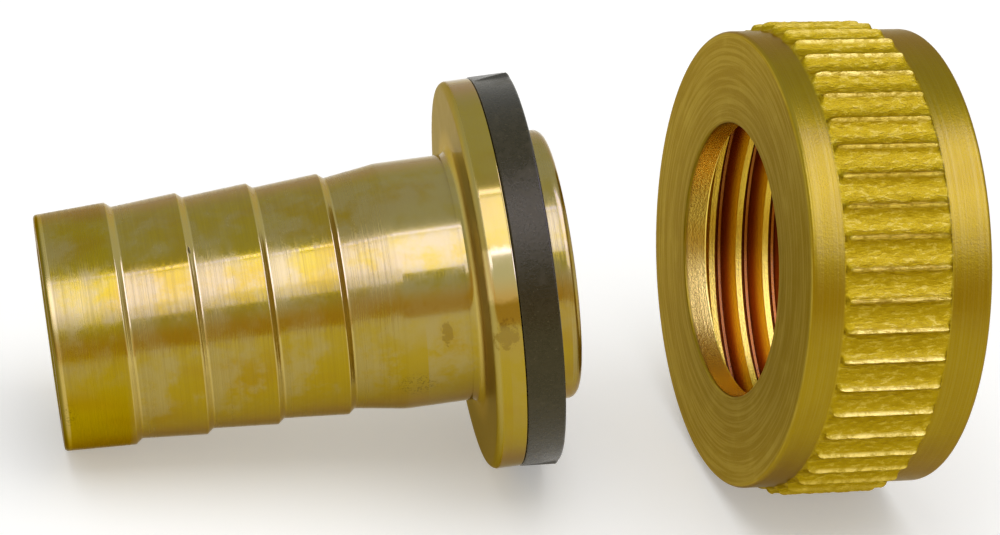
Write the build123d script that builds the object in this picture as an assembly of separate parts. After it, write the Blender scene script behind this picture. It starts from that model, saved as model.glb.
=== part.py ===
from build123d import *
import math
import os

# Hose tail coupling: a turned brass hose tail with a sealing flange, the rubber washer that sits
# on its face, and the knurled brass nut that draws the flange onto a pipe thread.
# The nut is off the tail. Both brass pieces lie on their sides on the floor, z = 0.
# Every piece is drawn about its own Z axis first and laid down afterwards. Lengths are millimetres.

# ---- Pipe thread that the nut takes: G 3/4 ----
THREAD_MINOR_DIAMETER = 24.117
THREAD_MAJOR_DIAMETER = 26.441
THREAD_PITCH = 1.814
THREAD_CREST_WIDTH = 0.3
THREAD_ROOT_WIDTH = 0.3
THREAD_MOUTH_CLEARANCE = 0.2      # on the diameter, so that a male thread starts freely

# ---- Hose tail, from the hose end to the nose ----
BORE_DIAMETER = 10.0
BORE_CHAMFER = 0.5
HOSE_END_DIAMETER = 14.4
HOSE_END_BEVEL = 0.2
BARB_COUNT = 4
BARB_PITCH = 4.33
BARB_CREST_DIAMETER = 14.8
BARB_ROOT_DIAMETER = 14.16
BARB_STEP_LENGTH = 0.4            # the steep side, which grips the hose
BARB_CREST_ROUND = 0.25
NECK_CONE_LENGTH = 3.2
COLLAR_DIAMETER = 15.1
COLLAR_LENGTH = 4.52
COLLAR_FILLET = 0.6
FLANGE_CLEARANCE = 0.217          # on the diameter, inside the nut's thread
FLANGE_THICKNESS = 1.85
FLANGE_BACK_ROUND = 0.5
FLANGE_FRONT_BEVEL = 0.12
NOSE_DIAMETER = 16.6
NOSE_REACH = 1.75                 # past the washer
NOSE_ROUND = 0.6

# ---- Sealing washer ----
WASHER_THICKNESS = 2.3
WASHER_CLEARANCE = 0.117          # on the diameter, inside the nut's thread
WASHER_FIT = 0.1                  # on the diameter, around the nose
WASHER_EDGE_BEVEL = 0.12

# ---- Coupling nut, from its front plate to its open end ----
NUT_SLIDE_CLEARANCE = 1.65        # on the diameter, so that the nut slides over barbs and collar
NUT_PLATE_THICKNESS = 1.5
NUT_HOLE_BEVEL = 0.15
THREAD_ENGAGEMENT = 6.0           # thread left for the pipe, past the seated washer
NUT_WALL = 0.73                   # left outside the thread
RING_EDGE_BEVEL = 0.25
FRONT_RING_LENGTH = 2.1
BACK_RING_LENGTH = 2.6
KNURL_HEIGHT = 0.6
KNURL_END_ROUND = 0.55
KNURL_RIDGES = 48
KNURL_GROOVE_WIDTH = 1.5
KNURL_FLOOR_WIDTH = 0.8
KNURL_GROOVE_FLOOR = 0.06         # height of the groove floors above the plain rings

# ---- How the two brass pieces lie ----
NUT_AHEAD = 40.9                  # centre of the nut's front face, from the hose end's centre
NUT_ASIDE = -2.4
NUT_YAW = 6.1                     # degrees that the nut's axis is turned from the tail's heading

# ---- Sizes that follow from the ones above ----
BORE_RADIUS = BORE_DIAMETER / 2
HOSE_END_RADIUS = HOSE_END_DIAMETER / 2
NOSE_RADIUS = NOSE_DIAMETER / 2
MINOR_RADIUS = THREAD_MINOR_DIAMETER / 2
MOUTH_RADIUS = (THREAD_MAJOR_DIAMETER + THREAD_MOUTH_CLEARANCE) / 2
FLANGE_RADIUS = (THREAD_MINOR_DIAMETER - FLANGE_CLEARANCE) / 2
WASHER_RADIUS = (THREAD_MINOR_DIAMETER - WASHER_CLEARANCE) / 2
WASHER_HOLE_RADIUS = (NOSE_DIAMETER + WASHER_FIT) / 2
NUT_HOLE_RADIUS = (COLLAR_DIAMETER + NUT_SLIDE_CLEARANCE) / 2
MAJOR_RADIUS = THREAD_MAJOR_DIAMETER / 2
RING_RADIUS = MAJOR_RADIUS + NUT_WALL
KNURL_RADIUS = RING_RADIUS + KNURL_HEIGHT
NECK_START = BARB_COUNT * BARB_PITCH + BARB_STEP_LENGTH
COLLAR_START = NECK_START + NECK_CONE_LENGTH
FLANGE_BACK = COLLAR_START + COLLAR_LENGTH
FLANGE_FACE = FLANGE_BACK + FLANGE_THICKNESS
WASHER_FACE = FLANGE_FACE + WASHER_THICKNESS
NOSE_END = WASHER_FACE + NOSE_REACH
NUT_LENGTH = NUT_PLATE_THICKNESS + FLANGE_THICKNESS + WASHER_THICKNESS + THREAD_ENGAGEMENT
KNURL_END = NUT_LENGTH - BACK_RING_LENGTH
THREAD_MOUTH = NUT_LENGTH - (MOUTH_RADIUS - MINOR_RADIUS)


def turned(points, rounds=()):
    """Turn a closed outline of (radius, height) points about Z.

    rounds lists (radius, height, rounding) for the corners of the outline that are rounded.
    """
    outline = make_face(Polyline(*points, close=True))
    for radius, height, rounding in rounds:
        corner = outline.vertices().sort_by_distance((radius, height, 0))[0]
        outline = fillet(corner, rounding)
    return revolve(Plane.XZ * outline, Axis.Z)


def hose_tail():
    """The one-piece brass tail: barbs, conical neck, polished collar, flange, nose and bore."""
    crest = BARB_CREST_DIAMETER / 2
    root = BARB_ROOT_DIAMETER / 2
    collar = COLLAR_DIAMETER / 2
    barbs = []
    rounds = []
    for number in range(1, BARB_COUNT + 1):
        height = number * BARB_PITCH
        barbs += [(crest, height), (root, height + BARB_STEP_LENGTH)]
        rounds.append((crest, height, BARB_CREST_ROUND))
    rounds += [
        (collar, FLANGE_BACK, COLLAR_FILLET),
        (FLANGE_RADIUS, FLANGE_BACK, FLANGE_BACK_ROUND),
        (NOSE_RADIUS, NOSE_END, NOSE_ROUND),
    ]
    outline = [
        (BORE_RADIUS, BORE_CHAMFER),
        (BORE_RADIUS + BORE_CHAMFER, 0),
        (HOSE_END_RADIUS - HOSE_END_BEVEL, 0),
        (HOSE_END_RADIUS, HOSE_END_BEVEL),
        *barbs,
        (collar, COLLAR_START),
        (collar, FLANGE_BACK),
        (FLANGE_RADIUS, FLANGE_BACK),
        (FLANGE_RADIUS, FLANGE_FACE - FLANGE_FRONT_BEVEL),
        (FLANGE_RADIUS - FLANGE_FRONT_BEVEL, FLANGE_FACE),
        (NOSE_RADIUS, FLANGE_FACE),
        (NOSE_RADIUS, NOSE_END),
        (BORE_RADIUS + BORE_CHAMFER, NOSE_END),
        (BORE_RADIUS, NOSE_END - BORE_CHAMFER),
    ]
    return turned(outline, rounds)


def sealing_washer():
    """The flat rubber washer, seated on the flange's face around the nose."""
    hole, rim, bevel = WASHER_HOLE_RADIUS, WASHER_RADIUS, WASHER_EDGE_BEVEL
    outline = [
        (hole, FLANGE_FACE),
        (rim - bevel, FLANGE_FACE),
        (rim, FLANGE_FACE + bevel),
        (rim, WASHER_FACE - bevel),
        (rim - bevel, WASHER_FACE),
        (hole + bevel, WASHER_FACE),
        (hole, WASHER_FACE - bevel),
    ]
    return turned(outline)


def knurl_band():
    """The raised band round the nut: rounded at both ends and cut by straight flat-bottomed grooves."""
    inside = RING_RADIUS - KNURL_HEIGHT / 2
    outline = [
        (inside, FRONT_RING_LENGTH),
        (KNURL_RADIUS, FRONT_RING_LENGTH),
        (KNURL_RADIUS, KNURL_END),
        (inside, KNURL_END),
    ]
    rounds = [(KNURL_RADIUS, end, KNURL_END_ROUND) for end in (FRONT_RING_LENGTH, KNURL_END)]
    band = turned(outline, rounds)

    floor = RING_RADIUS + KNURL_GROOVE_FLOOR
    top = KNURL_RADIUS + KNURL_HEIGHT / 2
    half_floor = KNURL_FLOOR_WIDTH / 2
    flare = (KNURL_GROOVE_WIDTH / 2 - half_floor) / (KNURL_RADIUS - floor)
    half_top = half_floor + flare * (top - floor)
    corners = [(floor, half_floor), (top, half_top), (top, -half_top), (floor, -half_floor)]
    section = make_face(Polyline(*corners, close=True))
    groove = extrude(section, amount=NUT_LENGTH)
    half_ridge = 180 / KNURL_RIDGES
    places = PolarLocations(0, KNURL_RIDGES, start_angle=half_ridge)
    return band - [place * groove for place in places]


def thread_grooves():
    """The thread's grooves as parallel rings, from the mouth inwards: (radius, height) points.

    As many rings as fit between the mouth's chamfer and the plate. The helix itself is in scene.py.
    """
    flank = (THREAD_PITCH - THREAD_CREST_WIDTH - THREAD_ROOT_WIDTH) / 2
    points = []
    height = THREAD_MOUTH - THREAD_CREST_WIDTH
    while height - THREAD_PITCH > NUT_PLATE_THICKNESS:
        points += [
            (MINOR_RADIUS, height),
            (MAJOR_RADIUS, height - flank),
            (MAJOR_RADIUS, height - flank - THREAD_ROOT_WIDTH),
            (MINOR_RADIUS, height - 2 * flank - THREAD_ROOT_WIDTH),
        ]
        height -= THREAD_PITCH
    return points


def coupling_nut():
    """The nut: front plate with its hole, plain rings, knurled band and threaded socket."""
    outline = [
        (NUT_HOLE_RADIUS + NUT_HOLE_BEVEL, 0),
        (RING_RADIUS - RING_EDGE_BEVEL, 0),
        (RING_RADIUS, RING_EDGE_BEVEL),
        (RING_RADIUS, NUT_LENGTH - RING_EDGE_BEVEL),
        (RING_RADIUS - RING_EDGE_BEVEL, NUT_LENGTH),
        (MOUTH_RADIUS, NUT_LENGTH),
        (MINOR_RADIUS, THREAD_MOUTH),
        *thread_grooves(),
        (MINOR_RADIUS, NUT_PLATE_THICKNESS),
        (NUT_HOLE_RADIUS, NUT_PLATE_THICKNESS),
        (NUT_HOLE_RADIUS, NUT_HOLE_BEVEL),
    ]
    return turned(outline) + knurl_band()


def lying_tilt():
    """Degrees that the tail's axis rises when it lies on its hose end and its flange.

    The floor is the line from the hose end's edge that touches the flange's rounded back edge.
    """
    run = FLANGE_BACK + FLANGE_BACK_ROUND - HOSE_END_BEVEL
    rise = FLANGE_RADIUS - FLANGE_BACK_ROUND - HOSE_END_RADIUS
    to_tangent = math.asin(FLANGE_BACK_ROUND / math.hypot(run, rise))
    return math.degrees(math.atan2(rise, run) + to_tangent)


def tail_place():
    """Where the tail and its washer lie: heading along +X, hose end low, flange end high."""
    tilt = math.radians(lying_tilt())
    lift = HOSE_END_RADIUS * math.cos(tilt) - HOSE_END_BEVEL * math.sin(tilt)
    return Location((0, 0, lift), (0, 90 - lying_tilt(), 0))


def nut_place():
    """Where the nut lies: on a ridge of its knurl, ahead of the nose and turned a little."""
    return Location((NUT_AHEAD, NUT_ASIDE, KNURL_RADIUS)) * Rot(0, 0, NUT_YAW) * Rot(0, 90, 0)


def arrange():
    """Every piece where it lies, by name, with the origin moved to below the middle of them all."""
    pieces = {
        "hose_tail": tail_place() * hose_tail(),
        "sealing_washer": tail_place() * sealing_washer(),
        "coupling_nut": nut_place() * coupling_nut(),
    }
    middle = Compound(list(pieces.values())).bounding_box().center()
    to_origin = Location((-middle.X, -middle.Y, 0))
    return {name: to_origin * piece for name, piece in pieces.items()}


os.makedirs("parts", exist_ok=True)
for node, piece in arrange().items():
    export_step(piece, f"parts/{node}.step")
    print(f"{node}: {piece.volume:.1f} mm3")
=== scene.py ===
# %% [markdown]
# # A brass hose tail, its washer and its knurled nut
# The object is a small set of plumbing parts: a turned brass hose tail with
# four barbs, a black rubber washer that sits on the tail's flange, and a loose
# knurled nut that lies beside them. The frame that is loaded here holds plain
# solids of all three at their real size and place. The frame is never moved:
# finer pieces are modelled over it, in the same metres.

# %% Load the frame
import math
import bmesh
import bpy
from mathutils import Euler, Matrix, Vector


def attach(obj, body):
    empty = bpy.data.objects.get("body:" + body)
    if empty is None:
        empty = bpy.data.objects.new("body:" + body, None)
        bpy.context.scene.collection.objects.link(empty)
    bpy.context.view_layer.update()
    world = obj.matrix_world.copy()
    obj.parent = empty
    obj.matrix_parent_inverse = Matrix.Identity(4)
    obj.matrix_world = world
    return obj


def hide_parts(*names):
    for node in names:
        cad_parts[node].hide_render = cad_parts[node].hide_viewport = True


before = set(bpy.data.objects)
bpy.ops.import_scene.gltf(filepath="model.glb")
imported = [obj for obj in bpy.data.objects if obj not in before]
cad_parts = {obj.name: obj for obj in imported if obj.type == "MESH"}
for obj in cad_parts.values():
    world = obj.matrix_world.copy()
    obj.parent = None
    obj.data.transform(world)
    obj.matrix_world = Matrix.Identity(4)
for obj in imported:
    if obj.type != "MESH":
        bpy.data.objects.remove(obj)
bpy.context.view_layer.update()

MM = 0.001
print("solids:", sorted(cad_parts))

# %% [markdown]
# The tail lies on the floor on its hose end and the rim of its flange, so its
# axis slopes up a little. The nut lies on its knurl with its axis level, turned
# a few degrees. Both places are kept as a point on the axis and a turn. Each
# piece is modelled upright around Z, in millimetres of its own height, and is
# laid in its place at the end.

# %% Where the pieces lie
TAIL_SLOPE = math.radians(10.47384)
TAIL_END = Vector((-26.3337, 1.80758, 7.04368)) * MM
TAIL_TURN = Euler((0, math.pi / 2 - TAIL_SLOPE, 0))
NUT_YAW = math.radians(6.1)
NUT_FACE = Vector((14.5663, -0.59242, 14.5505)) * MM
NUT_TURN = (Matrix.Rotation(NUT_YAW, 4, "Z") @ Matrix.Rotation(math.pi / 2, 4, "Y")).to_euler()
tail_axis = Vector((math.cos(TAIL_SLOPE), 0, math.sin(TAIL_SLOPE)))
print("tail axis:", [round(c, 3) for c in tail_axis])

# %% [markdown]
# A long lens from a good distance keeps small parts free of strong
# perspective, as in a product picture. The camera stands in front, a little to
# the left and above, and is rolled, so that the parts run level across the
# picture.

# %% Camera
LENS, SENSOR = 158.4, 36.0                      # mm, as is the place
CAMERA_PLACE = (-53.895, -229.218, 139.182)
LOOKS_ALONG = (0.20357, 0.85818, -0.47126)
PICTURE_RIGHT = (0.97878, -0.16696, 0.11876)

def add_camera(place, forward, right, lens):
    data = bpy.data.cameras.new("Camera")
    data.lens = lens
    data.sensor_width = SENSOR
    data.clip_start = 0.01
    data.clip_end = 10.0
    camera = bpy.data.objects.new("Camera", data)
    bpy.context.scene.collection.objects.link(camera)
    forward = Vector(forward).normalized()
    right = (Vector(right) - forward * forward.dot(Vector(right))).normalized()
    up = right.cross(forward)
    turn = Matrix((right, up, -forward)).transposed().to_4x4()
    camera.matrix_world = Matrix.Translation(Vector(place) * MM) @ turn
    bpy.context.scene.camera = camera
    return camera

camera = add_camera(CAMERA_PLACE, LOOKS_ALONG, PICTURE_RIGHT, LENS)
print("camera at", [round(c, 4) for c in camera.location], "lens", camera.data.lens)

# %% [markdown]
# Turned parts come from a lathe, and the same idea makes them here: half of the
# section is drawn as a chain of edges, and Spin turns it round the axis. The
# chain starts as a small plane merged to one vertex, and Extrude moves that
# vertex from point to point. A corner of the outline can carry a rounding,
# because real edges are never perfectly sharp, and the thin line of light on
# such an edge is what makes metal look solid. Each arc gets a support point on
# either side, so that its smooth shading doesn't spread over the long faces.

# %% Outlines with rounded corners
ARC_STEP = 15        # degrees of a rounding to each of its edges
SUPPORT = 0.05       # mm from a rounding to the point that guards its shading
WELD = 0.0005 * MM   # points nearer than this become one

def rounded(outline):
    """Replace each corner (radius, height, rounding) by an arc with support points beside it."""
    path = []
    for number, corner in enumerate(outline):
        if len(corner) == 2:
            path.append(Vector(corner))
            continue
        here = Vector(corner[:2])
        before = (Vector(outline[number - 1][:2]) - here)
        after = (Vector(outline[(number + 1) % len(outline)][:2]) - here)
        reach_before, reach_after = before.length, after.length
        before.normalize()
        after.normalize()
        half = before.angle(after) / 2
        back = corner[2] / math.tan(half)
        middle = here + (before + after).normalized() * (corner[2] / math.sin(half))
        start, end = here + before * back, here + after * back
        sweep = (end - middle).angle_signed(start - middle)
        steps = max(2, round(abs(math.degrees(sweep)) / ARC_STEP))
        support = min(SUPPORT, (reach_before - back) / 3, (reach_after - back) / 3)
        path.append(start + before * support)
        for step in range(steps + 1):
            turn = Matrix.Rotation(sweep * step / steps, 2)
            path.append(middle + turn @ (start - middle))
        path.append(end + after * support)
    return path

def select_nothing():
    if bpy.context.object and bpy.context.object.mode != "OBJECT":
        bpy.ops.object.mode_set(mode="OBJECT")
    bpy.ops.object.select_all(action="DESELECT")

def select_where(piece, test, kind="verts"):
    """Select what the test picks in edit mode, and nothing else."""
    mesh = bmesh.from_edit_mesh(piece.data)
    for group in (mesh.faces, mesh.edges, mesh.verts):
        for part in group:
            part.select_set(False)
    picked = [part for part in getattr(mesh, kind) if test(part)]
    for part in picked:
        part.select_set(True)
    bmesh.update_edit_mesh(piece.data)
    return len(picked)

def draw_outline(name, path, closed):
    """A chain of edges through (radius, height) points in mm, in the XZ plane."""
    select_nothing()
    place = Vector((path[0][0], 0, path[0][1])) * MM
    bpy.ops.mesh.primitive_plane_add(size=MM, location=place)
    piece = bpy.context.object
    piece.name = name
    bpy.ops.object.transform_apply(location=True, rotation=False, scale=False)
    bpy.ops.object.mode_set(mode="EDIT")
    bpy.ops.mesh.select_mode(type="VERT")
    bpy.ops.mesh.select_all(action="SELECT")
    bpy.ops.mesh.merge(type="CENTER")
    around = list(path[1:]) + ([path[0]] if closed else [])
    for before, after in zip([path[0]] + around, around):
        step = (after[0] - before[0], 0, after[1] - before[1])
        bpy.ops.mesh.extrude_vertices_move(TRANSFORM_OT_translate={"value": Vector(step) * MM})
    return piece

def turn_outline(piece, steps, angle=2 * math.pi):
    """Spin the outline round Z and weld it into one skin."""
    bpy.ops.mesh.select_all(action="SELECT")
    bpy.ops.mesh.spin(steps=steps, angle=angle, center=(0, 0, 0), axis=(0, 0, 1))
    bpy.ops.mesh.select_all(action="SELECT")
    bpy.ops.mesh.remove_doubles(threshold=WELD)
    bpy.ops.mesh.normals_make_consistent(inside=False)
    bpy.ops.object.mode_set(mode="OBJECT")
    return piece

def lay_in_place(piece, place, turn, smooth_angle):
    """Move an upright piece to where it lies, keep its object at the origin, and shade it."""
    select_nothing()
    piece.select_set(True)
    bpy.context.view_layer.objects.active = piece
    piece.location = place
    piece.rotation_euler = turn
    bpy.ops.object.transform_apply(location=True, rotation=True, scale=True)
    bpy.ops.object.shade_smooth_by_angle(angle=math.radians(smooth_angle))
    triangles = sum(len(p.vertices) - 2 for p in piece.data.polygons)
    print(piece.name, "triangles:", triangles)
    return piece

# %% [markdown]
# The tail is one piece of brass, turned all over. From the hose end it has four
# barbs, each a shallow cone that drops at a short step, then a cone up to a
# polished collar, the flange that the nut pulls on, and the nose that carries
# the washer. A plain hole runs through it. The barbs repeat, so a loop writes
# their points into the outline.

# %% Hose tail
TURN_STEPS = 240
BARB_PITCH, BARB_COUNT = 4.33, 4
CREST, ROOT, STEP = 7.40, 7.08, 0.40
HOSE_END, COLLAR, FLANGE, NOSE = 7.20, 7.55, 11.95, 8.3
BORE, BORE_CHAMFER = 5.0, 0.5
COLLAR_START, FLANGE_BACK, FLANGE_FACE, NOSE_END = 20.92, 25.44, 27.29, 31.34

tail_outline = [(BORE, BORE_CHAMFER), (BORE + BORE_CHAMFER, 0), (HOSE_END, 0, 0.2)]
for barb in range(1, BARB_COUNT + 1):
    tail_outline += [(CREST, barb * BARB_PITCH, 0.10), (ROOT, barb * BARB_PITCH + STEP, 0.22)]
tail_outline += [
    (COLLAR, COLLAR_START, 2.0), (COLLAR, FLANGE_BACK, 0.6), (FLANGE, FLANGE_BACK, 0.5),
    (FLANGE, FLANGE_FACE, 0.12), (NOSE, FLANGE_FACE, 0.1), (NOSE, NOSE_END, 0.6),
    (BORE + BORE_CHAMFER, NOSE_END), (BORE, NOSE_END - BORE_CHAMFER),
]
tail = draw_outline("turned_tail", rounded(tail_outline), closed=True)
turn_outline(tail, steps=TURN_STEPS)
lay_in_place(tail, TAIL_END, TAIL_TURN, 30)
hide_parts("hose_tail")
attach(tail, "root")

# %% [markdown]
# The washer is moulded rubber, pushed over the nose. Three of its edges are a
# little rounded, and two small nibs of flash stand out from its rim. Each nib is
# one point pulled outwards with proportional editing, so its neighbours follow.

# %% Sealing washer
WASHER_HOLE, WASHER, WASHER_FACE = 8.35, 12.0, 29.59
washer_outline = [
    (WASHER_HOLE, FLANGE_FACE), (WASHER, FLANGE_FACE, 0.1), (WASHER, WASHER_FACE, 0.16),
    (WASHER_HOLE, WASHER_FACE, 0.12),
]
washer = draw_outline("rubber_washer", rounded(washer_outline), closed=True)
turn_outline(washer, steps=TURN_STEPS)

def pull_nib(piece, turn_degrees, height, pull):
    """Draw one point of the rim outwards, and let its neighbours follow a little."""
    bpy.ops.object.mode_set(mode="EDIT")
    bpy.ops.mesh.select_mode(type="VERT")
    way = Vector((math.cos(math.radians(turn_degrees)), math.sin(math.radians(turn_degrees)), 0))
    spot = (way * WASHER + Vector((0, 0, height))) * MM
    mesh = bmesh.from_edit_mesh(piece.data)
    nearest = min(mesh.verts, key=lambda v: (v.co - spot).length).co.copy()
    select_where(piece, lambda v: (v.co - nearest).length < 0.01 * MM)
    bpy.ops.transform.translate(value=way * pull * MM, use_proportional_edit=True,
                                proportional_edit_falloff="SHARP", proportional_size=0.5 * MM)
    bpy.ops.object.mode_set(mode="OBJECT")

NIB_HEIGHT = WASHER_FACE - 0.2
for turn_degrees, pull in ((163, 0.22), (-34, 0.16)):
    pull_nib(washer, turn_degrees, NIB_HEIGHT, pull)
lay_in_place(washer, TAIL_END, TAIL_TURN, 30)
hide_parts("sealing_washer")
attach(washer, "root")

# %% [markdown]
# The nut is the skilled piece. It has a front plate with a hole, a plain ring,
# a band of straight knurling, another plain ring, and an inner thread. Straight
# knurling is rolled in: it raises narrow crests with broad hollows between
# them. All 48 ridges are the same, so one ridge, 7.5 degrees of the band, is
# spun, its columns are pressed in towards the hollow, and it is copied round
# with Spin in its duplicate mode. Steps of 0.625 degrees are used on the whole
# nut, so that the skins on both sides weld to the band point by point. The
# crests stand half a ridge round from those of the plain solid, which is a
# known difference between the two.

# %% One ridge of the knurl, copied round
RING, KNURL, HOLLOW = 13.95, 14.55, 14.02
KNURL_START, KNURL_END, NUT_LENGTH = 2.1, 8.82, 11.42
RIDGES, COLUMNS = 48, 12
RIDGE_HEIGHTS = (1.0, 0.66, 0.33, 0.16, 0.07, 0.02, 0.0)  # from the crest to the hollow's middle

END_LENGTH, BAND_STEPS = 0.52, 36
ends = ((0.0, RING), (0.05, 14.16), (0.14, 14.36), (0.30, 14.49), (END_LENGTH, KNURL))
band = [(radius, KNURL_START + along) for along, radius in ends]
EVEN_LENGTH = KNURL_END - KNURL_START - 2 * END_LENGTH
band += [(KNURL, KNURL_START + END_LENGTH + EVEN_LENGTH * step / BAND_STEPS)
         for step in range(1, BAND_STEPS)]
band += [(radius, KNURL_END - along) for along, radius in reversed(ends)]
ridge = draw_outline("knurl_ridge", [Vector(point) for point in band], closed=False)
ridge_angle = 2 * math.pi / RIDGES
turn_outline(ridge, steps=COLUMNS, angle=ridge_angle)

bpy.ops.object.mode_set(mode="EDIT")
bpy.ops.mesh.select_mode(type="VERT")
for column in range(COLUMNS + 1):
    share = RIDGE_HEIGHTS[abs(column - COLUMNS // 2)]
    angle = ridge_angle * column / COLUMNS
    for radius in sorted({point[0] for point in band}):
        foot = min(radius, HOLLOW)
        scale = (foot + share * (radius - foot)) / radius
        if scale > 0.9999:
            continue
        select_where(ridge, lambda v: abs(math.hypot(v.co.x, v.co.y) / MM - radius) < 0.004
                     and abs(abs(math.atan2(v.co.y, v.co.x)) - angle) < 0.002)
        bpy.ops.transform.resize(value=(scale, scale, 1), center_override=(0, 0, 0))
bpy.ops.mesh.select_all(action="SELECT")
bpy.ops.mesh.spin(steps=RIDGES - 1, angle=2 * math.pi * (RIDGES - 1) / RIDGES, dupli=True,
                  center=(0, 0, 0), axis=(0, 0, 1))
bpy.ops.mesh.select_all(action="SELECT")
bpy.ops.mesh.remove_doubles(threshold=WELD)
bpy.ops.object.mode_set(mode="OBJECT")
print("knurl band:", len(ridge.data.vertices), "points")

# %% [markdown]
# An inside thread is cut with a tap, and the same is done here. The tap is one
# pitch of tooth outline, turned and raised by a pitch each turn with the Screw
# modifier, and cut square at both ends by Bisect, which also fills the cuts. A
# plain sleeve of brass, the inner wall of the nut, is bored, chamfered at its
# mouth, and cut by the tap with a Boolean modifier. The thread is the parallel
# pipe thread of three quarters of an inch, 14 turns to the inch.

# %% Tap
PITCH, MINOR, MAJOR = 25.4 / 14, 12.0585, 13.22
tooth = [(12.00, 0.0), (12.00, 0.32), (12.10, 0.36), (13.15, 0.90), (MAJOR, 0.98),
         (MAJOR, 1.15), (13.15, 1.23), (12.10, 1.77), (12.00, PITCH)]
tap = draw_outline("tap", [Vector((r, z - 1.5 * PITCH)) for r, z in tooth], closed=False)
bpy.ops.object.mode_set(mode="OBJECT")
bpy.ops.object.modifier_add(type="SCREW")
screw = tap.modifiers[-1]
screw.axis = "Z"
screw.screw_offset = PITCH * MM
screw.iterations = 9
screw.steps = screw.render_steps = 144
bpy.ops.object.modifier_apply(modifier=screw.name)
bpy.ops.object.mode_set(mode="EDIT")
bpy.ops.mesh.select_all(action="SELECT")
bpy.ops.mesh.remove_doubles(threshold=WELD)
for height, outer in ((0.4, False), (12.3, True)):
    bpy.ops.mesh.select_all(action="SELECT")
    bpy.ops.mesh.bisect(plane_co=(0, 0, height * MM), plane_no=(0, 0, 1), use_fill=True,
                        clear_inner=not outer, clear_outer=outer)
bpy.ops.mesh.select_all(action="SELECT")
bpy.ops.mesh.normals_make_consistent(inside=False)
loose = select_where(tap, lambda e: e.is_boundary, "edges")
bpy.ops.object.mode_set(mode="OBJECT")
print("tap:", len(tap.data.polygons), "faces,", loose, "open edges")

# %% Threaded sleeve
RELIEF, MOUTH, THREAD_START, THREAD_MOUTH = 13.25, 13.3205, 1.95, 10.158
SLEEVE, LIP = 13.7, 0.05
sleeve_outline = [(RELIEF, THREAD_START), (MINOR, THREAD_START), (MINOR, THREAD_MOUTH),
                  (MOUTH - LIP, NUT_LENGTH - LIP), (SLEEVE, NUT_LENGTH - LIP), (SLEEVE, THREAD_START)]
sleeve = draw_outline("threaded_sleeve", [Vector(point) for point in sleeve_outline], closed=True)
turn_outline(sleeve, steps=RIDGES * COLUMNS)
bpy.ops.object.modifier_add(type="BOOLEAN")
cut = sleeve.modifiers[-1]
cut.operation = "DIFFERENCE"
cut.solver = "EXACT"
cut.object = tap
bpy.ops.object.modifier_apply(modifier=cut.name)
bpy.data.objects.remove(tap)
bpy.ops.object.mode_set(mode="EDIT")
bpy.ops.mesh.select_mode(type="FACE")
hidden = select_where(sleeve, lambda f: min(math.hypot(v.co.x, v.co.y) for v in f.verts) / MM > RELIEF - 0.01
                      and max(math.hypot(v.co.x, v.co.y) for v in f.verts) / MM > SLEEVE - 0.1, "faces")
bpy.ops.mesh.delete(type="FACE")
bpy.ops.object.mode_set(mode="OBJECT")
print("sleeve:", len(sleeve.data.polygons), "faces left,", hidden, "hidden ones removed")

# %% [markdown]
# The rest of the nut is two turned skins. The front one runs from the thread's
# relief round the plate and its hole to the start of the knurl, and the back
# one from the end of the knurl to the open end. Joined and welded, the four
# parts are one closed piece of brass.

# %% Coupling nut
NUT_HOLE, PLATE = 8.375, 1.5
front_outline = [(RELIEF, THREAD_START), (RELIEF, PLATE, 0.12), (NUT_HOLE, PLATE, 0.1), (NUT_HOLE, 0, 0.15),
                 (12.9, 0), (RING, 0, 0.28), (RING, KNURL_START - 0.04), (RING, KNURL_START)]
front = draw_outline("nut_front", rounded(front_outline), closed=False)
turn_outline(front, steps=RIDGES * COLUMNS)
back_outline = [(RING, KNURL_END), (RING, KNURL_END + 0.04), (RING, NUT_LENGTH, 0.28),
                (MOUTH, NUT_LENGTH, 0.03), (MOUTH - LIP, NUT_LENGTH - LIP)]
back = draw_outline("nut_back", rounded(back_outline), closed=False)
turn_outline(back, steps=RIDGES * COLUMNS)

select_nothing()
for part in (front, back, ridge, sleeve):
    part.select_set(True)
nut = front
bpy.context.view_layer.objects.active = nut
bpy.ops.object.join()
nut.name = "knurled_nut"
bpy.ops.object.mode_set(mode="EDIT")
bpy.ops.mesh.select_all(action="SELECT")
bpy.ops.mesh.remove_doubles(threshold=WELD)
bpy.ops.mesh.normals_make_consistent(inside=False)
bpy.ops.mesh.select_mode(type="EDGE")
open_edges = select_where(nut, lambda e: e.is_boundary, "edges")
bpy.ops.object.mode_set(mode="OBJECT")
print("nut:", len(nut.data.vertices), "points,", open_edges, "open edges")

# %% [markdown]
# Rolled knurling tears the metal a little, so its surface is rough where the
# rings beside it are smooth. Real dents show better than painted ones on a
# crest that stands against the light: a Displace modifier presses the band in
# by a few hundredths of a millimetre, following a cloud pattern, and only
# inwards, so that the nut doesn't grow.

# %% Rough knurl
def displace_band(piece, name, noise_scale, strength):
    texture = bpy.data.textures.new(name, "CLOUDS")
    texture.noise_scale = noise_scale * MM
    texture.noise_depth = 2
    bpy.ops.object.modifier_add(type="DISPLACE")
    dents = piece.modifiers[-1]
    dents.texture = texture
    dents.texture_coords = "LOCAL"
    dents.vertex_group = "knurl"
    dents.mid_level = 0.95
    dents.strength = strength * MM
    bpy.ops.object.modifier_apply(modifier=dents.name)

group = nut.vertex_groups.new(name="knurl")
rough = [v.index for v in nut.data.vertices
         if KNURL_START + 0.05 < v.co.z / MM < KNURL_END - 0.05
         and math.hypot(v.co.x, v.co.y) / MM > RING + 0.01]
group.add(rough, 1.0, "REPLACE")
displace_band(nut, "knurl_dents", 0.40, 0.10)
displace_band(nut, "knurl_grit", 0.16, 0.06)
lay_in_place(nut, NUT_FACE, NUT_TURN, 35)
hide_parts("coupling_nut")
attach(nut, "root")

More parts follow.
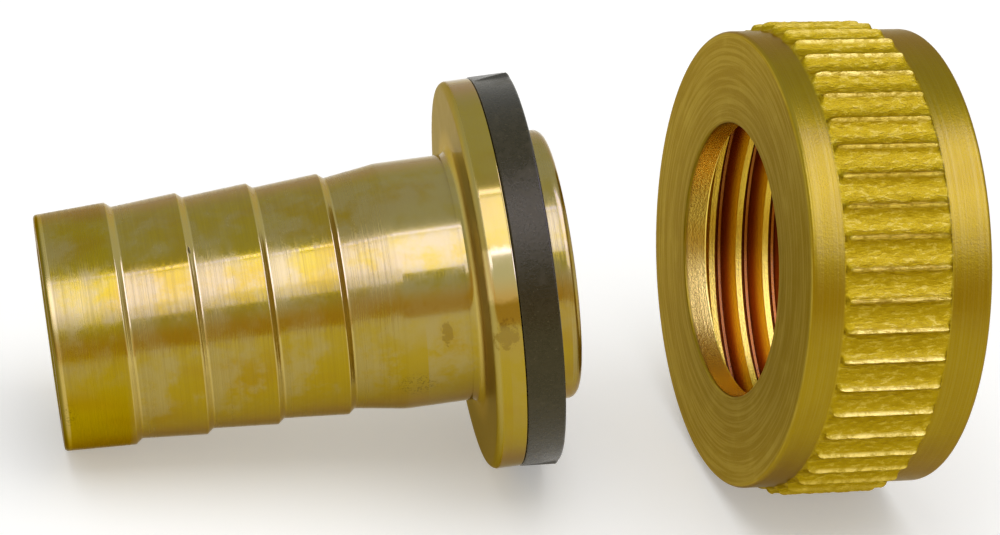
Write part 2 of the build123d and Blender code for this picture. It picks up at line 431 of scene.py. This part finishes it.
# %% [markdown]
# ## Finishes
# Shader maths reads best as plain expressions, so a small class wraps a node's
# socket and adds a Math node for each operator. A finish is one material, with
# one method that adds any other node.

# %% Numbers that change over a surface
class Amount:
    """A number at each point of the surface: a socket that can be used in an expression."""

    def __init__(self, tree, socket):
        self.tree = tree
        self.socket = socket

    def maths(self, operation, *values):
        return add_node(self.tree, "ShaderNodeMath", {"operation": operation}, dict(enumerate(values)))

    def __add__(self, other): return self.maths("ADD", self, other)
    def __radd__(self, other): return self.maths("ADD", other, self)
    def __sub__(self, other): return self.maths("SUBTRACT", self, other)
    def __rsub__(self, other): return self.maths("SUBTRACT", other, self)
    def __mul__(self, other): return self.maths("MULTIPLY", self, other)
    def __rmul__(self, other): return self.maths("MULTIPLY", other, self)
    def __truediv__(self, other): return self.maths("DIVIDE", self, other)
    def __rtruediv__(self, other): return self.maths("DIVIDE", other, self)
    def __pow__(self, other): return self.maths("POWER", self, other)
    def __abs__(self): return self.maths("ABSOLUTE", self)
    def root(self): return self.maths("SQRT", self)
    def below(self, other): return self.maths("MINIMUM", self, other)
    def above(self, other): return self.maths("MAXIMUM", self, other)

    def ramp(self, start, end, low=0.0, high=1.0):
        """Rises smoothly from low at start to high at end."""
        names = {"Value": self, "From Min": start, "From Max": end, "To Min": low, "To Max": high}
        return add_node(self.tree, "ShaderNodeMapRange", {"interpolation_type": "SMOOTHSTEP"}, names)

def add_node(tree, kind, settings=None, inputs=None, output=0):
    """Add one node: its settings first, then its inputs as values or as links."""
    node = tree.nodes.new(kind)
    for name, value in (settings or {}).items():
        setattr(node, name, value)
    for name, value in (inputs or {}).items():
        if isinstance(value, Amount):
            tree.links.new(value.socket, node.inputs[name])
        else:
            node.inputs[name].default_value = value
    return Amount(tree, node.outputs[output])

def srgb(red, green, blue):
    """A colour as a screen shows it (0 to 255), turned into the linear light a shader uses."""
    linear = [c / 255 / 12.92 if c <= 10 else ((c / 255 + 0.055) / 1.055) ** 2.4 for c in (red, green, blue)]
    return (*linear, 1.0)

# %% [markdown]
# A pattern on a turned part follows its lathe axis. Object coordinates give
# each point in metres in the room, and a Mapping node of type Texture undoes
# the piece's place and turn, so that Z runs along the axis in millimetres. From
# there, radius and angle are plain maths.

# %% A finish and its coordinates
class Finish:
    def __init__(self, name, place, turn):
        self.material = bpy.data.materials.new(name)
        self.material.use_nodes = True
        self.tree = self.material.node_tree
        self.shader = self.tree.nodes["Principled BSDF"]
        room = self.node("ShaderNodeTexCoord", output=3)
        self.place = self.node("ShaderNodeMapping", {"vector_type": "TEXTURE"},
                               {"Vector": room, "Location": place, "Rotation": turn, "Scale": (MM, MM, MM)})
        split = self.node("ShaderNodeSeparateXYZ", inputs={0: self.place}).socket.node
        self.x, self.y, self.z = [Amount(self.tree, socket) for socket in split.outputs]
        self.radius = (self.x * self.x + self.y * self.y).root()
        self.angle = self.x.maths("ARCTAN2", self.y, self.x)

    def node(self, kind, settings=None, inputs=None, output=0):
        return add_node(self.tree, kind, settings, inputs, output)

    def noise(self, scale, detail=2.0, roughness=0.5, at=None):
        inputs = {"Vector": at or self.place, "Scale": scale, "Detail": detail, "Roughness": roughness}
        return self.node("ShaderNodeTexNoise", inputs=inputs)

    def stretched(self, across, along):
        """Coordinates squeezed or stretched across and along the axis, for marks that run round it."""
        inputs = {0: self.x * across, 1: self.y * across, 2: self.z * along}
        return self.node("ShaderNodeCombineXYZ", inputs=inputs)

    def mix(self, factor, first, second):
        settings = {"data_type": "RGBA", "clamp_factor": True}
        return self.node("ShaderNodeMix", settings, {0: factor, 6: first, 7: second}, output=2)

    def bump(self, height, distance, under=None):
        inputs = {"Height": height, "Distance": distance * MM, "Strength": 1.0}
        if under:
            inputs["Normal"] = under
        return self.node("ShaderNodeBump", inputs=inputs)

    def set(self, **sockets):
        for name, value in sockets.items():
            name = name.replace("_", " ")
            if isinstance(value, Amount):
                self.tree.links.new(value.socket, self.shader.inputs[name])
            else:
                self.shader.inputs[name].default_value = value

    def paint(self, piece):
        piece.data.materials.clear()
        piece.data.materials.append(self.material)
        print(piece.name, "wears", self.material.name, "with", len(self.tree.nodes), "nodes")

# %% [markdown]
# The tail's brass is freshly turned and handled: a warm olive gold, with the
# fine rings that the tool leaves, duller patches where it was touched, and a
# smoother collar beside the flange. The rings are a noise that is squeezed
# along the axis, so they catch light as thin lines round the part. A thin
# clear coat gives highlights their pale cream, and a gold edge tint keeps the
# metal from turning white where it is seen at a slant. The lower side and the
# flange's back are painted paler, as painted light, the flange's back most of
# all near the collar; the flange's back is also rougher and has no coat. Each
# barb's step carries a pale line of painted highlight, and the edge of the hose
# end is painted dark as painted shade. Small marks of use are blots at a place
# on the round, with an outline broken up by noise: a stain on the flange's rim,
# a stain and spots on the collar, spots at the hose end, and a nick in the step
# of the second barb. A wide pale blot of the same kind on the flange's rim is a
# painted highlight that carries the rim's bright band further down.

# %% Turned brass of the tail
BRASS = srgb(160, 134, 6)
BRASS_DULL = srgb(164, 147, 92)
BRASS_BROWN = srgb(150, 112, 6)
# Pale colour of the painted highlight on the barbs' steps.
STEP_HIGHLIGHT_PALE = srgb(204, 180, 104)
GOLD_EDGE = (0.54, 0.41, 0.13, 1.0)

turned = Finish("turned_brass", TAIL_END, TAIL_TURN)
rings = turned.noise(1.0, 3.0, 0.65, at=turned.stretched(0.06, 7.0))
fine_rings = turned.noise(1.0, 2.0, 0.6, at=turned.stretched(0.10, 15.0))
streaks = (rings * 0.5 + fine_rings * 0.5).ramp(0.40, 0.62)
on_barbs = 1 - turned.z.ramp(17.6, 18.2)
after_step = (turned.z - STEP).maths("WRAP", turned.z - STEP, BARB_PITCH, 0.0)
below_middle = (turned.x / turned.radius).ramp(-0.30, 0.15)
# Painted light: the lower side of the tail is painted paler.
underside_painted_light = (turned.x / turned.radius).ramp(0.25, 0.85)
mottle = turned.noise(0.55, 4.0, 0.65)
rubbed = (mottle - after_step * on_barbs * 0.055).ramp(0.26, 0.60)
under_steps = (mottle - after_step * 0.09).ramp(0.24, 0.48) * turned.z.ramp(4.4, 4.8)
on_rim = turned.z.ramp(25.5, 25.7) * (1 - turned.z.ramp(27.3, 27.4))
patches = (rubbed * (1 - below_middle) + under_steps * below_middle) * (1 - on_rim * 0.7)
blush = turned.noise(0.28, 2.0, 0.5, at=turned.stretched(1.0, 0.5)).ramp(0.48, 0.68)
collar_zone = turned.z.ramp(20.6, 21.0) * (1 - turned.z.ramp(27.3, 27.4))
on_nose = turned.z.ramp(29.4, 29.6)
# Painted shade: the edge of the hose end is painted dark.
end_edge_painted_shade = 1 - turned.z.ramp(0.12, 0.32)
# Painted light: the flange's back is painted paler, most of all near the collar.
flange_back = (1 - turned.z.ramp(25.7, 25.9)) * turned.radius.ramp(7.58, 7.72)
first_barb = 1 - turned.z.ramp(3.9, 4.3)
# Painted highlight: a pale line at the step of each barb.
next_step = after_step.ramp(BARB_PITCH - 0.46, BARB_PITCH - 0.40)
painted_step_highlight = on_barbs * ((1 - after_step.ramp(0.0, 0.10)) + next_step)

def stain(turn_degrees, height, radius, wide, tall, rough):
    """1 in a blot at a place on the round, 0 outside it, with an outline broken up by noise."""
    turn = math.radians(turn_degrees)
    place = Vector((math.cos(turn) * radius, math.sin(turn) * radius, height))
    away = [(axis - centre) / size for axis, centre, size in
            ((turned.x, place.x, tall), (turned.y, place.y, tall), (turned.z, place.z, wide))]
    distance = (away[0] * away[0] + away[1] * away[1] + away[2] * away[2]).root()
    return 1 - (distance + (rough - 0.5) * 2.6).ramp(0.75, 1.05)

ragged = turned.noise(2.4, 3.0, 0.7)
spotty = turned.noise(6.0, 2.0, 0.7)
collar_fork = stain(-95.2, 23.3, 7.55, 0.35, 0.75, ragged)
collar_spots = stain(-66, 21.4, 7.5, 1.8, 1.6, spotty) * spotty.ramp(0.52, 0.6)
on_round = turned.radius.ramp(11.35, 11.65)
rim_stain = stain(-101.5, 26.3, 11.95, 0.7, 0.9, ragged) * on_round
# Painted highlight: a pale band on the flange's rim, below its bright band.
rim_painted_highlight = stain(-119, 26.4, 11.95, 4.0, 1.75, 0.5 + (ragged - 0.5) * 0.12) * on_round
end_spots = stain(-76, 0.5, 7.2, 0.8, 1.6, spotty) * spotty.ramp(0.55, 0.62)
nick = stain(-151.0, 8.8, 7.2, 0.09, 0.30, ragged)
colour = turned.mix(blush * 0.4, BRASS, BRASS_BROWN)
colour = turned.mix(patches * 0.55, colour, BRASS_DULL)
colour = turned.mix(streaks * (1 - collar_zone * 0.75) * 0.18, colour, srgb(128, 102, 4))
# Painted highlight on the barbs' steps.
colour = turned.mix(painted_step_highlight * 0.6, colour, STEP_HIGHLIGHT_PALE)
# Painted light on the lower side.
colour = turned.mix(underside_painted_light * 0.5, colour, srgb(198, 170, 50))
# Painted shade at the edge of the hose end.
colour = turned.mix(end_edge_painted_shade * 0.85, colour, srgb(104, 88, 8))
# Painted light on the flange's back, paler still near the collar.
colour = turned.mix(flange_back * 0.8, colour, srgb(170, 151, 78))
colour = turned.mix(flange_back * (1 - turned.radius.ramp(8.2, 9.4)) * 0.7, colour, srgb(206, 180, 92))
# Painted highlight on the flange's rim.
colour = turned.mix(rim_painted_highlight * 0.65, colour, srgb(226, 202, 128))
colour = turned.mix((collar_fork + rim_stain).below(1.0) * 0.6, colour, srgb(124, 96, 8))
colour = turned.mix((collar_spots + end_spots).below(1.0) * 0.55, colour, srgb(104, 84, 12))
colour = turned.mix(nick * 0.8, colour, srgb(84, 66, 10))
turned.set(Base_Color=colour, Metallic=1.0, Specular_Tint=GOLD_EDGE)
roughness = 0.10 + patches * 0.08 + streaks * 0.12 * (1 - collar_zone)
turned.set(Roughness=roughness + flange_back * 0.28 + first_barb * 0.08)
coat = 0.45 + collar_zone * 0.15 + on_nose * 0.2 - flange_back * 0.5 - end_edge_painted_shade * 0.3 - first_barb * 0.2
turned.set(Coat_Weight=(coat - below_middle * 0.25).above(0.0), Coat_Roughness=0.08, Coat_IOR=1.5)
relief = turned.bump((rings * 0.55 + fine_rings * 0.45) * (1 - collar_zone * 0.75) - nick * 2.0, 0.020)
turned.set(Normal=relief)
turned.paint(tail)

# %% [markdown]
# The nut is the same brass, cleaned in a tumbler after it was cut: satin all
# over, brightest on the rough knurl, whose crests are paler, partly as wear at
# random and partly as a painted highlight, strongest on the side turned to the
# camera and on the side opposite it. Its rings and its face keep fine turning
# marks. Inside, the metal is painted lighter as painted light, the hole's wall
# paler still as a painted highlight, and the roots of the thread darker and
# redder as painted shade.

# %% Satin brass of the nut
BRASS_NUT = srgb(149, 122, 4)
BRASS_KNURL = srgb(172, 144, 14)

satin = Finish("satin_brass", NUT_FACE, NUT_TURN)
on_knurl = (satin.z.ramp(1.95, 2.2) * (1 - satin.z.ramp(8.7, 8.95))) * satin.radius.ramp(13.6, 13.8)
on_crest = on_knurl * satin.radius.ramp(14.22, 14.40)
front_face = 1 - satin.z.ramp(0.02, 0.1)
# Painted light: the nut's inside is painted lighter.
inside = (1 - satin.radius.ramp(13.3, 13.4)) * satin.z.ramp(0.1, 0.3) * (1 - satin.z.ramp(11.2, 11.35))
in_thread = inside * satin.z.ramp(1.7, 1.9)
# Painted shade: the thread's roots are painted darker and redder.
painted_root_shade = in_thread * satin.radius.ramp(12.15, 12.9)
cloud = satin.noise(0.35, 3.0, 0.6)
grain = satin.noise(7.0, 3.0, 0.7)
pits = satin.noise(1.0, 4.0, 0.7, at=satin.stretched(3.6, 1.5))
rings = satin.noise(1.0, 3.0, 0.65, at=satin.stretched(0.06, 10.0))
colour = satin.mix(cloud.ramp(0.4, 0.7) * 0.5, BRASS_NUT, srgb(140, 112, 4))
colour = satin.mix(rings.ramp(0.4, 0.65) * 0.25, colour, srgb(168, 146, 56))
colour = satin.mix(front_face * 0.8, colour, srgb(172, 142, 14))
face_axes = {0: satin.x * 0.15, 1: satin.y * 0.15, 2: satin.radius * 5.0}
across_face = satin.node("ShaderNodeCombineXYZ", inputs=face_axes)
face_rings = satin.noise(1.0, 3.0, 0.65, at=across_face).ramp(0.40, 0.62)
face_marks = face_rings * 0.45 + cloud.ramp(0.5, 0.75) * 0.25
colour = satin.mix(front_face * face_marks, colour, srgb(206, 180, 78))
colour = satin.mix(on_knurl, colour, BRASS_KNURL)
colour = satin.mix(on_knurl * pits.ramp(0.48, 0.62) * 0.35, colour, srgb(146, 116, 2))
colour = satin.mix(on_knurl * (1 - pits.ramp(0.36, 0.48)) * 0.6, colour, srgb(206, 180, 62))
worn = satin.noise(1.4, 3.0, 0.7).ramp(0.36, 0.58)
# Painted highlight: crests are paler where the band faces the camera and on the opposite side, less towards
# its edges as seen.
camera_side_highlight = (abs(satin.x * -0.47 - satin.y * 0.88) / satin.radius).ramp(0.15, 0.60)
colour = satin.mix(on_crest * (worn * 0.8 + 0.2) * (camera_side_highlight * 0.85 + 0.15), colour, srgb(242, 216, 92))
# Painted light inside the nut, a painted highlight on the hole's wall and painted shade in the thread's
# roots.
colour = satin.mix(inside, colour, srgb(208, 174, 50))
colour = satin.mix(inside - in_thread, colour, srgb(238, 208, 86))
colour = satin.mix(painted_root_shade, colour, srgb(150, 88, 14))
satin.set(Base_Color=colour, Metallic=1 - front_face * 0.35 - on_knurl * 0.12)
satin.set(Specular_Tint=GOLD_EDGE, Specular_IOR_Level=0.08)
satin.set(Roughness=0.25 + on_knurl * 0.12 + cloud * 0.08 - inside * 0.05 + front_face * 0.22)
satin.set(Coat_Weight=0.16 - front_face * 0.12 - on_knurl * 0.13, Coat_Roughness=0.18, Coat_IOR=1.5)
relief = satin.bump(rings * (1 - on_knurl), 0.010)
relief = satin.bump(grain, 0.018, under=relief)
satin.set(Normal=satin.bump(pits * on_knurl, 0.10, under=relief))
satin.paint(nut)

# %% [markdown]
# The washer's rubber is a dark brown charcoal with a soft sheen and a fine
# speckle of filler and dust.

# %% Rubber
rubber = Finish("black_rubber", TAIL_END, TAIL_TURN)
speckle = rubber.noise(5.5, 3.0, 0.7)
grey_clouds = rubber.noise(1.3, 3.0, 0.65).ramp(0.45, 0.75)
specks = rubber.noise(9.0, 2.0, 0.6).ramp(0.66, 0.74)
colour = rubber.mix(speckle.ramp(0.35, 0.7), srgb(22, 18, 14), srgb(38, 31, 25))
colour = rubber.mix(grey_clouds * 0.35, colour, srgb(60, 52, 36))
colour = rubber.mix(specks * 0.5, colour, srgb(110, 98, 72))
rubber.set(Base_Color=colour, Roughness=0.27 + grey_clouds * 0.12)
rubber.set(Specular_IOR_Level=0.5, Specular_Tint=(1.0, 0.85, 0.34, 1.0))
rubber.set(Normal=rubber.bump(speckle, 0.02))
rubber.paint(washer)

# %% [markdown]
# ## Floor, light and background
# Big soft panels above, a pale room round the parts and a pale floor are all
# that small metal parts need. Metal shows what it reflects, so a panel's edge
# is the edge of the bright band on a cylinder. Each panel is placed by the law
# of reflection: for a band from one height on the round to another, it stands
# at twice those angles from the camera's direction, turned about the part's
# axis. The tail's panels and the nut's stand side by side. They are seen only
# in reflections, and are bluish, because brass itself reflects almost no blue:
# what its clear coat adds makes the highlights a pale cream. A plain white
# panel lights matt surfaces.

# %% Panel lights
STAGE_MIDDLE = Vector((0, 0, 10)) * MM
TAIL_TINT, NUT_TINT = (1.0, 1.05, 2.7), (1.0, 1.04, 3.5)
PANEL_DISTANCE = 0.7
nut_axis = Vector((math.cos(NUT_YAW), math.sin(NUT_YAW), 0))
to_camera = (camera.location - STAGE_MIDDLE).normalized()

def add_lamp(name, radiance, width, height, along, direction, colour):
    data = bpy.data.lights.new(name, "AREA")
    data.shape = "RECTANGLE"
    data.size, data.size_y = width, height
    data.color = colour
    data.energy = radiance * math.pi * width * height
    lamp = bpy.data.objects.new(name, data)
    bpy.context.scene.collection.objects.link(lamp)
    lamp.matrix_world = Matrix((along, direction.cross(along), direction)).transposed().to_4x4()
    print(name, "radiance", radiance, "size", round(width, 2), "x", round(height, 2))
    return lamp

def add_panel(name, axis, heights, ends, radiance, colour=TAIL_TINT):
    """A panel that shows on a cylinder between two heights, given in degrees up its round."""
    level = (to_camera - axis * to_camera.dot(axis)).normalized()
    upward = axis.cross(level)
    if upward.z < 0:
        upward.negate()
    low, high = heights
    middle = math.radians(low + high)
    direction = level * math.cos(middle) + upward * math.sin(middle)
    height = 2 * PANEL_DISTANCE * math.tan(math.radians(high - low))
    lamp = add_lamp(name, radiance, ends[1] - ends[0], height, axis, direction, colour)
    lamp.location = STAGE_MIDDLE + direction * PANEL_DISTANCE + axis * (ends[0] + ends[1]) / 2
    lamp.visible_diffuse = False
    return lamp

TAIL_ENDS, NUT_ENDS, SKIRT_END = (-0.30, 0.165), (0.17, 0.80), 0.03
add_panel("tail_panel_rim", tail_axis, (22.6, 24.0), TAIL_ENDS, 3.8)
add_panel("tail_panel_main", tail_axis, (7, 21.8), TAIL_ENDS, 2.15)
add_panel("tail_panel_skirt", tail_axis, (1, 7), (TAIL_ENDS[0], SKIRT_END), 1.35)
add_panel("tail_panel_collar", tail_axis, (4.5, 7), (SKIRT_END, TAIL_ENDS[1]), 2.1)
add_panel("nut_panel_main", nut_axis, (8, 33), NUT_ENDS, 2.2, NUT_TINT)
add_panel("nut_panel_skirt", nut_axis, (0, 8), NUT_ENDS, 1.5, NUT_TINT)

ceiling = add_lamp("ceiling_panel", 1.6, 0.9, 0.9, Vector((1, 0, 0)), Vector((0, 0, 1)), (1, 1, 1))
ceiling.location = (0.0, -0.1, 0.9)
ceiling.visible_glossy = False

# %% [markdown]
# The white background is what the camera sees of the room. Mirror-like
# reflections see a pale room too, with its ceiling a little dimmer and cooler,
# and the side that the camera stands on dimmer and warmer near the horizon, as
# a studio is behind the photographer. Matt surfaces get the same room softly.

# %% Room
world = bpy.data.worlds.new("Room")
bpy.context.scene.world = world
world.use_nodes = True
room_tree = world.node_tree
background = room_tree.nodes["Background"]
rays = add_node(room_tree, "ShaderNodeLightPath").socket.node
camera_ray = Amount(room_tree, rays.outputs["Is Camera Ray"])
glossy_ray = Amount(room_tree, rays.outputs["Is Glossy Ray"])
clear_ray = Amount(room_tree, rays.outputs["Is Transmission Ray"])
direction = add_node(room_tree, "ShaderNodeTexCoord", output=0)
parts = add_node(room_tree, "ShaderNodeSeparateXYZ", inputs={0: direction}).socket.node
dir_x, dir_y, dir_z = [Amount(room_tree, socket) for socket in parts.outputs]
behind_camera = (dir_y * -1.0 - dir_x * 0.25).ramp(0.2, 0.7) * (1 - abs(dir_z).ramp(0.15, 0.50))
overhead = dir_z.ramp(0.05, 0.55)

def blend_light(factor, first, second):
    settings = {"data_type": "RGBA", "clamp_factor": True}
    return add_node(room_tree, "ShaderNodeMix", settings, {0: factor, 6: first, 7: second}, output=2)

mirrored = blend_light(overhead, (0.88, 0.88, 0.85, 1), (0.66, 0.73, 0.86, 1))
mirrored = blend_light(behind_camera, mirrored, (0.72, 0.53, 0.26, 1))
seen = (glossy_ray.above(camera_ray)).above(clear_ray)
colour = blend_light(glossy_ray, (1, 1, 1, 1), mirrored)
room_tree.links.new(colour.socket, background.inputs["Color"])
room_tree.links.new((seen * 0.45 + 0.55).socket, background.inputs["Strength"])

# %% [markdown]
# The floor is plain and pale. What it catches of the lamps leaves the soft
# shadow under the parts, and a little light of its own, seen only by the camera
# and in reflections, lifts it to white.

# %% Floor
select_nothing()
bpy.ops.mesh.primitive_plane_add(size=3.0, location=(0, 0, 0))
floor = bpy.context.object
floor.name = "floor"
paint = bpy.data.materials.new("floor_paint")
paint.use_nodes = True
tree = paint.node_tree
tree.nodes.remove(tree.nodes["Principled BSDF"])
rays = add_node(tree, "ShaderNodeLightPath").socket.node
seen = Amount(tree, rays.outputs["Is Camera Ray"]).above(Amount(tree, rays.outputs["Is Glossy Ray"]))
matt = add_node(tree, "ShaderNodeBsdfDiffuse", inputs={"Color": (0.82, 0.82, 0.81, 1)})
glow = add_node(tree, "ShaderNodeEmission", inputs={"Strength": seen * 0.30})
both = add_node(tree, "ShaderNodeAddShader", inputs={0: matt, 1: glow})
tree.links.new(both.socket, tree.nodes["Material Output"].inputs["Surface"])
floor.data.materials.append(paint)

# %% [markdown]
# The finer pieces are meant to be no bigger than the solids they stand for.
# At the end, colours are shown plainly, with the Standard view transform.

# %% Finish
bpy.context.scene.view_settings.view_transform = "Standard"
